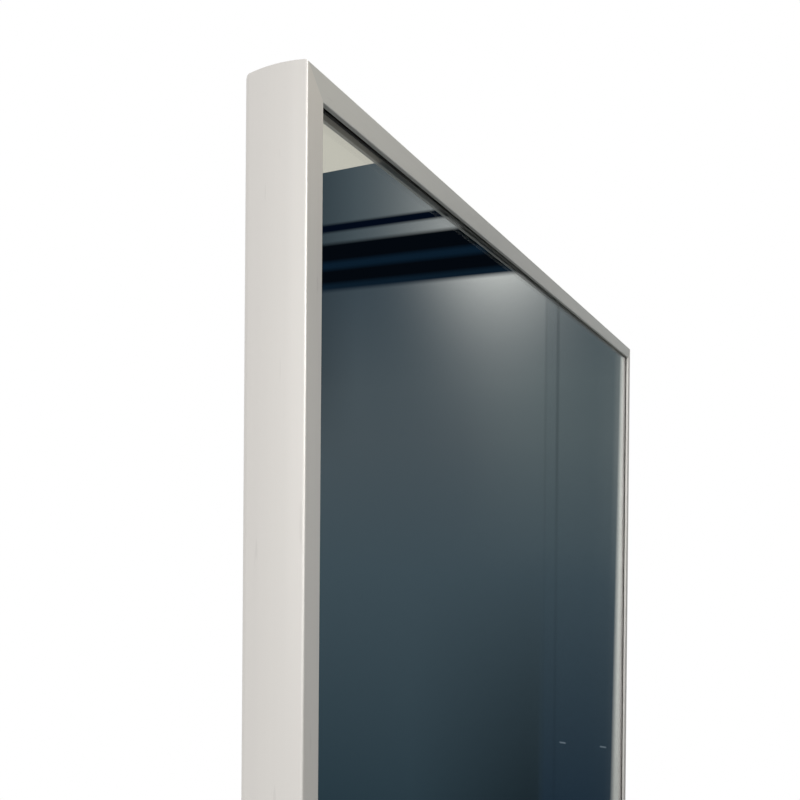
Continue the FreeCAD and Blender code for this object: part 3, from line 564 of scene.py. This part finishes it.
def build_screws(node, body, facing, head_height, shank_radius):
    """Screws along Y in place of a CAD group, each turned by an angle of its own."""
    bm = bmesh.new()
    for low, high in islands(node):
        middle = (low + high) / 2.0
        seat = high.y - head_height if facing > 0 else low.y + head_height
        place = Matrix.Translation((middle.x, seat, middle.z))
        place = place @ Matrix.Rotation(math.radians(-90.0 * facing), 4, "X")
        turn = 0.6 + 2.1 * middle.x / MM + middle.z / MM
        place = place @ Matrix.Rotation(turn, 4, "Z")
        radius = (high.x - low.x) / 2.0
        screw(bm, place, radius * HEAD_INSIDE, head_height, shank_radius,
              high.y - low.y - head_height, radius / RECESS_HEAD)
    finished(node + "_threaded", bm, body, "screw_steel", node)


def build_balls(node, body):
    """True spheres in place of a cage's faceted balls."""
    bm = bmesh.new()
    for low, high in islands(node):
        bmesh.ops.create_icosphere(bm, subdivisions=3, radius=(high.z - low.z) / 2.0,
                                   matrix=Matrix.Translation((low + high) / 2.0))
    finished(node + "_round", bm, body, "ball_steel", node)


CLIP_BORE = 4.02 * MM
CLIP_TOOTH = 1.5 * MM
CLIP_LOBES = 4.0                        # one of them falls in the opening, so three teeth are left
CLIP_BLUNT = 0.35                       # the power that makes a tooth's end blunt
CLIP_STEPS = 96
CLIP_OPENING = math.radians(38.0)       # to each side of the open side's middle
CLIP_HORN = 5                           # steps over which each end is rounded
CLIP_THINNER = 0.07                     # share of the outer radius that the ends lose
# Shares of the clip's thickness, and how far its outline is drawn in there.
CLIP_LEVELS = ((0.0, 0.05), (0.12, 0.0), (0.88, 0.0), (1.0, 0.05))


def build_clip():
    """The E-shaped clip in the pin's groove: three teeth, an open side, rounded horns."""
    low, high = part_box("retaining_clip")
    centre = (low + high) / 2.0
    outer = (high.x - low.x) / 2.0
    bm = bmesh.new()
    inner_line, outer_line = [], []
    for k in range(CLIP_STEPS + 1):
        angle = CLIP_OPENING + (math.tau - 2.0 * CLIP_OPENING) * k / CLIP_STEPS
        tooth = 0.0
        if 0 < k < CLIP_STEPS:
            tooth = max(math.cos(CLIP_LOBES * angle), 0.0) ** CLIP_BLUNT
        horn = min(1.0, min(k, CLIP_STEPS - k) / CLIP_HORN)
        swell = math.sqrt(1.0 - (1.0 - horn) ** 2)
        direction = Vector((math.cos(angle + math.pi), math.sin(angle + math.pi), 0.0))
        inner_line.append(direction * (CLIP_BORE + (1.0 - tooth) * CLIP_TOOTH))
        outer_line.append(direction * outer * (1.0 - CLIP_THINNER * (1.0 - swell)))
    outline = outer_line + inner_line[::-1]
    middle = [(a + b) / 2.0 for a, b in zip(outer_line, inner_line)]
    middle = middle + middle[::-1]
    rings = []
    for level, pull in CLIP_LEVELS:
        points = [centre + point.lerp(inside, pull) for point, inside in zip(outline, middle)]
        z = low.z + (high.z - low.z) * level
        rings.append([bm.verts.new((point.x, point.y, z)) for point in points])
    ring_stack(bm, rings)
    count = len(outer_line)
    for ring, flip in ((rings[0], True), (rings[-1], False)):
        for k in range(count - 1):
            quad = (ring[k], ring[k + 1], ring[2 * count - 2 - k], ring[2 * count - 1 - k])
            bm.faces.new(quad[::-1] if flip else quad)
    finished("retaining_clip_e", bm, "carriage", "screw_steel", "retaining_clip")


WASHER_BORE = 5.2 * MM
WASHER_SHEET = 0.4 * MM
WASHER_STEPS = 72
WASHER_WAVES = 3.0


def build_washers():
    """Two thin sprung rings with three waves, in place of the plain ones."""
    bm = bmesh.new()
    for low, high in islands("friction_washers"):
        centre, depth = (low + high) / 2.0, high.z - low.z
        outer = (high.x - low.x) / 2.0
        wave = (depth - WASHER_SHEET) / 2.0
        section = ((WASHER_BORE, -1), (outer, -1), (outer, 1), (WASHER_BORE, 1))
        rings = [[] for _ in section]
        for k in range(WASHER_STEPS):
            angle = math.tau * k / WASHER_STEPS
            rise = wave * math.sin(WASHER_WAVES * angle)
            for ring, (radius, side) in zip(rings, section):
                ring.append(bm.verts.new((centre.x + radius * math.cos(angle),
                                          centre.y + radius * math.sin(angle),
                                          centre.z + rise + side * WASHER_SHEET / 2.0)))
        ring_stack(bm, rings + [rings[0]])
    finished("friction_washers_waved", bm, "carriage", "ball_steel", "friction_washers")


# Sheet parts: node, body, how far the rounding reaches to each side of a cut corner's edges, and
# the width of a broken edge. Nothing is done where a measure is 0.
SHEET_PARTS = (
    ("cross_bar_upper", "mirror", 0.0, 0.25 * MM),
    ("cross_bar_lower", "mirror", 0.0, 0.25 * MM),
    ("pivot_plate", "mirror", 3.2 * MM, 0.25 * MM),
    ("wall_bracket_front", "wall_side", 0.0, 0.25 * MM),
    ("wall_bracket_rear", "wall_side", 0.0, 0.25 * MM),
    ("carriage_bracket", "carriage", 3.2 * MM, 0.0),
)
SAME_PLACE = 0.001 * MM                 # points this near become one
SAME_PLANE = math.radians(0.5)          # faces this flat to each other become one
SHARP = math.radians(50.0)              # edges over this are broken
CUT = math.radians(45.0)
CUT_SLACK = 0.02                        # radians
ALONG_Y = 0.99                          # share of an edge's length
HOLE_SIDE = 3.0 * MM                    # longer than a side of any screw hole
ROUND_STEPS, EDGE_STEPS = 5, 2


def build_sheet_part(node, body, rounding, broken):
    """A sheet part with rounded windows or broken edges, made from its CAD node. The node's faces
    don't share their corners, so they are joined, and each flat side becomes one face."""
    bm = bmesh.new()
    bm.from_mesh(nodes[node].data)
    bm.transform(nodes[node].matrix_world)
    bmesh.ops.remove_doubles(bm, verts=bm.verts, dist=SAME_PLACE)
    bmesh.ops.dissolve_limit(bm, angle_limit=SAME_PLANE, verts=bm.verts, edges=bm.edges)

    def bevel(offset, segments, chosen):
        bmesh.ops.bevel(bm, geom=[edge for edge in bm.edges if chosen(edge)], offset=offset,
                        offset_type="OFFSET", segments=segments, profile=0.5, affect="EDGES",
                        clamp_overlap=True)

    def cut_corner(edge):
        """Where the CAD cuts a corner of the sheet off at 45 degrees, an edge runs through it. The
        edges through a screw hole's side are nearer to each other."""
        first, second = edge.verts
        return (abs(second.co.y - first.co.y) > ALONG_Y * edge.calc_length()
                and abs(edge.calc_face_angle(0.0) - CUT) < CUT_SLACK
                and all(other is edge or other.calc_length() > HOLE_SIDE
                        for vertex in edge.verts for other in vertex.link_edges))

    if rounding:
        bevel(rounding, ROUND_STEPS, cut_corner)
    if broken:
        bevel(broken, EDGE_STEPS, lambda edge: edge.calc_face_angle(0.0) > SHARP)
    made = finished(node + "_finished", bm, body, slots[node], node)
    made.modifiers.new("even_shading", "WEIGHTED_NORMAL").keep_sharp = True


build_silver()
for name, facts in SCREWS.items():
    build_screws(name, *facts)
build_balls("inner_balls", "inner_cage")
build_balls("outer_balls", "outer_cage")
build_clip()
build_washers()
for facts in SHEET_PARTS:
    build_sheet_part(*facts)


# ---------------------------------------------------------------- stage

LOOKING = ("Is Camera Ray", "Is Glossy Ray", "Is Transmission Ray")
REFLECTED_BY = ("glossy", "transmission")


class Emitter(Graph):
    """A stage material or the world: one emission of a worked-out colour."""

    def __init__(self, name, world=False):
        super().__init__((bpy.data.worlds if world else bpy.data.materials).new(name))
        out = self.add("ShaderNodeOutputWorld" if world else "ShaderNodeOutputMaterial")
        self.glow = self.add("ShaderNodeBackground" if world else "ShaderNodeEmission")
        self.link(self.glow.outputs[0], out.inputs["Surface"])

    def colour(self, value):
        self.put(self.glow.inputs["Color"], value)

    def strength(self, value):
        self.put(self.glow.inputs["Strength"], value)


def stage_mesh(name, corners, material, seen=()):
    """A flat piece of the stage. Rays that it isn't seen by pass through it."""
    mesh = bpy.data.meshes.new(name)
    mesh.from_pydata(corners, [], [tuple(range(len(corners)))])
    mesh.materials.append(material)
    obj = bpy.data.objects.new(name, mesh)
    bpy.context.scene.collection.objects.link(obj)
    for kind in ("camera", "diffuse", "glossy", "transmission", "shadow"):
        setattr(obj, f"visible_{kind}", not seen or kind in seen)


def upright(name, first, second, low, high, material, seen=REFLECTED_BY):
    """An upright card between two floor points and two heights."""
    stage_mesh(name, [(*first, low), (*second, low), (*second, high), (*first, high)], material,
               seen)


def build_world():
    """White where it is looked at, and a soft light from above elsewhere."""
    sky = Emitter("studio", world=True)
    looked = sky.ray(*LOOKING)
    up = sky.split(sky.add("ShaderNodeTexCoord").outputs["Generated"])[2]
    sky.colour(WHITE)
    sky.strength(sky.maths("MAXIMUM", looked, sky.span(up, -0.35, 0.15, 0.18, 0.66)))
    bpy.context.scene.world = sky.material


FLOOR_RADIUS = 1.8
FLOOR_SIDES = 96
FLOOR_BELOW = 0.04                      # the object hangs on a wall, so it doesn't stand on it
FLOOR_FADE = (0.7, 1.7)                 # from the floor's own look to the background's
RIM_GLOW = 0.35                         # the white rim's light where it isn't looked at
BOUNCE = 0.12                           # the light that the whole floor throws on matt faces


def build_floor():
    """A pale disc under the object, which fades into the white background."""
    m = Shader("floor")
    x, y, _ = m.place()
    white = m.add("ShaderNodeEmission")
    m.put(white.inputs["Strength"], m.span(m.ray(*LOOKING), 0.0, 1.0, RIM_GLOW, 1.0))
    m.set(Base_Color=(0.90, 0.895, 0.885, 1.0), Roughness=0.6)
    bounce = m.add("ShaderNodeEmission")
    bounce.inputs["Strength"].default_value = BOUNCE

    def mix(factor, first, second):
        """The first shader at 0, the second at 1."""
        node = m.add("ShaderNodeMixShader")
        m.link(factor, node.inputs[0])
        m.link(first.outputs[0], node.inputs[1])
        m.link(second.outputs[0], node.inputs[2])
        return node

    shown = mix(m.rise(m.radius(x, y), *FLOOR_FADE), m.bsdf, white)
    lit = mix(m.ray("Is Diffuse Ray"), shown, bounce)
    m.link(lit.outputs[0], m.out.inputs["Surface"])
    level = cad_box[0].z - FLOOR_BELOW
    angles = [math.tau * k / FLOOR_SIDES for k in range(FLOOR_SIDES)]
    stage_mesh("floor", [(FLOOR_RADIUS * math.cos(a), FLOOR_RADIUS * math.sin(a), level)
                         for a in angles], m.material)


# ---------------------------------------------------------------- the room that the mirror shows

# The wall that the mirror shows stands at ROOM_X, and runs along Y from the object's side to the
# side wall at ROOM_Y.
ROOM_X = 3.0
ROOM_NEAR, ROOM_Y = 0.1, -4.2
ROOM_LEFT = -1.6
ROOM_FLOOR, CEILING = -1.9, 2.133
CEILING_NEAR = -0.6
CARPET_LEFT, CARPET_X = -2.4, 1.85
CARPET_NEAR = 0.02
CARPET_BELOW = 0.03
REFLECTED = 1.09                        # makes up for the light that the silvered glass takes
GLOW_Y = -1.145                         # the middle of the light on the wall
DOOR_EDGE = (-0.97, -0.94)              # where the wall ends and the door begins
JAMB_Y = -0.647
HEADER_Y, HEADER_SLANT = -2.04, 0.0158
# The header's bands: tone, lowest and highest level, softness of their edges.
HEADER_BANDS = (
    ((3, 10, 24), 1.819, 1.861, 0.008),
    ((12, 27, 40), 1.5195, 1.600, 0.012),
    ((4, 8, 14), 1.556, 1.761, 0.011),
    ((11, 28, 43), 1.628, 1.668, 0.012),
)
# The door's joints: Y, half width, depth of tone.
JOINTS = ((-0.948, 0.008, 0.12), (-0.894, 0.010, 0.24))
# Two small catches: both ends along Y and their level.
CATCHES = ((-0.867, -0.840, -0.624), (-0.689, -0.663, -0.616))
CATCH_HEIGHT = 0.007
CATCH_PROUD = 0.01
SOFT_CORE = 0.3                         # a soft light's middle, at full strength, as a share of it


def room_tone(red, green, blue):
    """A colour that shows as written once the silvered glass has taken its share of light."""
    return shade(linear(red, green, blue), REFLECTED)


def plain_card(name, tone, *place, seen=REFLECTED_BY):
    """An upright card of one tone."""
    m = Emitter(name)
    m.colour(tone)
    upright(name, *place, m.material, seen)


def soft_light(name, strength, first, second, low, high, axis):
    """A light that glossy faces show. It fades to the studio's white at its edges; axis is the
    one that its width is measured along."""
    m = Emitter(name)
    place = m.place()
    fade = 1.0
    for value, start, end in ((place[axis], first[axis], second[axis]), (place[2], low, high)):
        half = abs(end - start) / 2.0
        fade = m.times(fade, m.fall(m.apart(value, (start + end) / 2.0), half * SOFT_CORE, half))
    m.strength(m.span(fade, 0.0, 1.0, 1.0, strength))
    upright(name, first, second, low, high, m.material, ("glossy",))


def wall_tones_and_shade(wall, y, z):
    """The wall's tones, with its light and shade painted in: darker towards the floor, a painted
    shade in the far corner, and a deeper painted shade low on the wall, in another tone on the
    door."""
    middle = wall.blend(wall.rise(y, -1.35, -0.95), room_tone(71, 81, 87), room_tone(80, 91, 95))
    colour = room_tone(41, 57, 66)
    # Darker and paler by height: painted light and shade on the wall.
    for low, high, tone in ((-1.1, 0.1, room_tone(62, 76, 84)), (0.1, 0.75, middle),
                            (1.0, 1.5, room_tone(60, 71, 79)), (1.6, 1.8, room_tone(62, 74, 81))):
        colour = wall.blend(wall.rise(z, low, high), colour, tone)
    # Painted shade in the far corner.
    corner = wall.times(wall.span(y, -2.15, -1.93, 0.30, 0.0), wall.rise(z, 0.6, 1.1))
    colour = wall.blend(corner, colour, room_tone(20, 26, 32))
    # Painted shade low on the wall: beside the door, and on the door in another tone.
    low_shade = wall.fall(z, -1.0, 0.25)
    beside = wall.times(wall.rise(y, -1.60, -1.02), wall.span(y, *DOOR_EDGE, 0.56, 0.0))
    colour = wall.blend(wall.times(low_shade, beside), colour, room_tone(4, 8, 12))
    door = wall.span(y, *DOOR_EDGE, 0.0, 0.50)
    return wall.blend(wall.times(low_shade, door), colour, room_tone(2, 22, 46))


def wash(wall, y, z, spread, edge, reach):
    """Light thrown on the wall from one level, fading away from it and to both sides."""
    aside = wall.times(wall.maths("SUBTRACT", y, GLOW_Y), 1.0 / spread)
    aside = wall.maths("EXPONENT", wall.times(aside, aside, -1.0))
    away = wall.maths("EXPONENT", wall.times(wall.apart(z, edge), -1.0 / reach))
    return wall.times(aside, away)


def wall_glow(wall, y, z, colour):
    """Light on the wall, below the header's foot and above it."""
    below = wall.times(wash(wall, y, z, 0.33, 1.52, 0.25), wall.fall(z, 1.55, 1.60),
                       wall.span(y, -0.96, -0.94, 1.0, 0.76))
    above = wall.times(wash(wall, y, z, 0.45, 1.78, 6.0), wall.span(z, 1.60, 1.65, 0.0, 0.77))
    return wall.blend(wall.maths("ADD", below, above), colour, room_tone(182, 180, 175), "ADD")


def wall_header(wall, y, z, colour):
    """The dark bands of the header, which slant a little."""
    slanted = wall.maths("ADD", z, wall.times(wall.maths("SUBTRACT", y, HEADER_Y), HEADER_SLANT))
    for tone, low, high, soft in HEADER_BANDS:
        band = wall.times(wall.rise(slanted, low - soft, low + soft),
                          wall.fall(slanted, high - soft, high + soft))
        colour = wall.blend(band, colour, room_tone(*tone))
    return colour


def wall_door(wall, y, z, colour):
    """The door's joints, and the bright jamb beside it with light that spills from it."""
    for centre, half, depth in JOINTS:
        joint = wall.times(wall.span(wall.apart(y, centre), half * 0.3, half, depth, 0.0),
                           wall.span(z, 0.2, 0.8, 0.45, 1.0))
        colour = wall.blend(joint, colour, room_tone(8, 14, 20))
    leaning = wall.maths("SUBTRACT", y, wall.span(z, -0.9, 1.1, 0.0, 0.025))
    jamb = wall.blend(wall.rise(z, -0.8, 0.6), room_tone(168, 169, 165), room_tone(224, 225, 219))
    spill = wall.maths("ADD", wall.span(leaning, JAMB_Y - 0.10, JAMB_Y - 0.02, 0.0, 0.02),
                       wall.span(leaning, JAMB_Y - 0.025, JAMB_Y + 0.004, 0.0, 0.09))
    colour = wall.blend(wall.times(spill, wall.span(z, 0.0, 0.7, 0.25, 1.0)), colour, jamb)
    return wall.blend(wall.rise(leaning, JAMB_Y, JAMB_Y + 0.020), colour, jamb)


def build_room():
    """The dim room that the mirror shows: seen in reflections only."""
    wall = Emitter("room_wall")
    _, y, z = wall.place()
    colour = wall_tones_and_shade(wall, y, z)
    colour = wall_glow(wall, y, z, colour)
    colour = wall_header(wall, y, z, colour)
    colour = wall_door(wall, y, z, colour)
    # Painted light: the wall grows pale towards its far end, by the side wall.
    far_end_light = wall.fall(y, -2.9, -2.2)
    wall.colour(wall.blend(far_end_light, colour, room_tone(205, 206, 205)))
    upright("room_wall", (ROOM_X, ROOM_NEAR), (ROOM_X, ROOM_Y), ROOM_FLOOR, CEILING,
            wall.material)
    for step, (near, far, level) in enumerate(CATCHES, start=1):
        plain_card(f"room_catch_{step}", room_tone(92, 104, 114), (ROOM_X - CATCH_PROUD, near),
                   (ROOM_X - CATCH_PROUD, far), level, level + CATCH_HEIGHT)

    side = Emitter("room_side")
    _, _, z = side.place()
    side.colour(side.blend(side.rise(z, -1.2, CEILING), linear(184, 187, 188),
                           linear(214, 215, 213)))
    upright("room_side", (ROOM_X, ROOM_Y), (ROOM_LEFT, ROOM_Y), ROOM_FLOOR, CEILING,
            side.material)

    top = Emitter("room_ceiling")
    top.colour(room_tone(194, 190, 179))
    stage_mesh("room_ceiling", [(ROOM_X, CEILING_NEAR, CEILING), (ROOM_X, ROOM_Y, CEILING),
                                (ROOM_LEFT, ROOM_Y, CEILING), (ROOM_LEFT, CEILING_NEAR, CEILING)],
               top.material, REFLECTED_BY)

    carpet = Emitter("room_carpet")
    x, y, _ = carpet.place()
    tone = carpet.blend(carpet.rise(carpet.radius(x, y), 0.9, 2.4), linear(128, 126, 121),
                        linear(160, 159, 155))
    carpet.colour(carpet.blend(carpet.fall(x, -2.3, -1.3), tone, WHITE))
    level = cad_box[0].z - CARPET_BELOW
    stage_mesh("room_carpet", [(CARPET_LEFT, CARPET_NEAR, level), (CARPET_LEFT, ROOM_Y, level),
                               (CARPET_X, ROOM_Y, level), (CARPET_X, CARPET_NEAR, level)],
               carpet.material, REFLECTED_BY)

    soft_light("softbox", 4.6, (-2.3, -1.267), (-0.9, -2.433), 0.0, 2.4, 0)
    soft_light("strip_light", 3.1, (-2.6, -0.5), (-2.6, 0.55), -0.45, 1.95, 1)
    plain_card("closet_shade", linear(22, 23, 25), (-0.20, 0.19), (1.2, 0.19), 0.20, 1.2,
               seen=("glossy",))


# ---------------------------------------------------------------- lamps and camera

# Lamps: name, place, target, side, power, tint.
LAMPS = (
    ("key", (-2.0, -1.6, 1.9), (-0.18, 0.0, 0.1), 1.4, 14.0, (1.0, 0.985, 0.96)),
    ("fill", (-1.6, -2.4, 1.4), (-0.18, 0.0, 0.0), 1.6, 3.6, (0.97, 0.985, 1.0)),
    ("back", (0.6, 2.2, 1.5), (-0.18, 0.0, 0.0), 1.6, 12.0, (1.0, 1.0, 1.0)),
)
# The camera that the photo's edges give. FOCAL and IMAGE are in pixels, the turn in degrees.
SENSOR = 36.0
FOCAL = 787.2
IMAGE = 800.0
CAMERA_SHIFT = 0.1125
CAMERA_PLACE = (-0.48685, -0.14721, 0.52680)
CAMERA_TURN = (89.6010, -0.4770, -63.9907)


def build_lamp(name, place, target, side, power, tint):
    """A soft square lamp that isn't itself seen in glass or metal."""
    data = bpy.data.lights.new(name, "AREA")
    data.shape = "RECTANGLE"
    data.size = data.size_y = side
    data.energy = power
    data.color = tint
    obj = bpy.data.objects.new(name, data)
    obj.location = place
    aim = Vector(target) - Vector(place)
    obj.rotation_euler = aim.to_track_quat("-Z", "Y").to_euler()
    obj.visible_glossy = False
    obj.visible_transmission = False
    bpy.context.scene.collection.objects.link(obj)


def build_camera():
    """The photo's camera."""
    data = bpy.data.cameras.new("camera")
    data.sensor_width = SENSOR
    data.lens = FOCAL / IMAGE * SENSOR
    data.shift_y = CAMERA_SHIFT
    data.clip_start, data.clip_end = 0.01, 60.0
    camera = bpy.data.objects.new("camera", data)
    camera.location = CAMERA_PLACE
    camera.rotation_euler = Euler([math.radians(angle) for angle in CAMERA_TURN])
    bpy.context.scene.collection.objects.link(camera)
    bpy.context.scene.camera = camera


build_world()
build_floor()
build_room()
for facts in LAMPS:
    build_lamp(*facts)
build_camera()
bpy.context.scene.view_settings.view_transform = "Standard"
